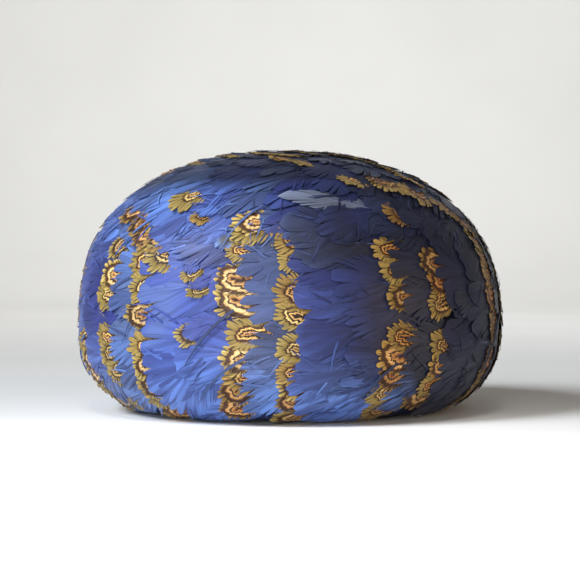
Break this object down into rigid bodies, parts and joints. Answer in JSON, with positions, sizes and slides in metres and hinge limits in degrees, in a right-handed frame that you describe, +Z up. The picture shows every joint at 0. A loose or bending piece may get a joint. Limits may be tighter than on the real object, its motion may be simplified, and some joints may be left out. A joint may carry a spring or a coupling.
{
  "type": "feather hat",
  "caption": "Domed feather hat: hollow felt shell with a curled-in rim, covered by courses of blue plumes and barred gold feather tips that swirl to the crown.",
  "frame": {"origin": "centre of the head opening, in the plane that the rim rests on", "axes": "+Z up through the crown, -Y to the front of the hat, +X to the wearer's left"},
  "size_m": [0.2492, 0.2611, 0.152],
  "materials": {
    "felt": "matte navy felt",
    "blue_plume": "silky dyed plume, fine barbs",
    "slate_plume": "silky dyed plume, fine barbs",
    "barred_tip": "barred pheasant feather tips"
  },
  "bodies": {
    "root": {"felt_shell": "felt", "crown_whorl": "blue_plume", "pheasant_tips_a_1": "barred_tip", "pheasant_tips_b_1": "barred_tip", "slate_plumes_1": "slate_plume", "blue_plumes_1": "blue_plume", "pheasant_tips_a_2": "barred_tip", "pheasant_tips_b_2": "barred_tip", "slate_plumes_2": "slate_plume", "blue_plumes_2": "blue_plume", "pheasant_tips_a_3": "barred_tip", "pheasant_tips_b_3": "barred_tip", "slate_plumes_3": "slate_plume", "blue_plumes_3": "blue_plume", "pheasant_tips_a_4": "barred_tip", "pheasant_tips_b_4": "barred_tip", "slate_plumes_4": "slate_plume", "blue_plumes_4": "blue_plume", "pheasant_tips_a_5": "barred_tip", "pheasant_tips_b_5": "barred_tip", "slate_plumes_5": "slate_plume", "blue_plumes_5": "blue_plume", "pheasant_tips_a_6": "barred_tip", "pheasant_tips_b_6": "barred_tip", "slate_plumes_6": "slate_plume", "blue_plumes_6": "blue_plume", "pheasant_tips_a_7": "barred_tip", "pheasant_tips_b_7": "barred_tip", "slate_plumes_7": "slate_plume", "blue_plumes_7": "blue_plume", "pheasant_tips_a_8": "barred_tip", "pheasant_tips_b_8": "barred_tip", "slate_plumes_8": "slate_plume", "blue_plumes_8": "blue_plume", "pheasant_tips_a_9": "barred_tip", "pheasant_tips_b_9": "barred_tip", "slate_plumes_9": "slate_plume", "blue_plumes_9": "blue_plume"}
  },
  "joints": []
}
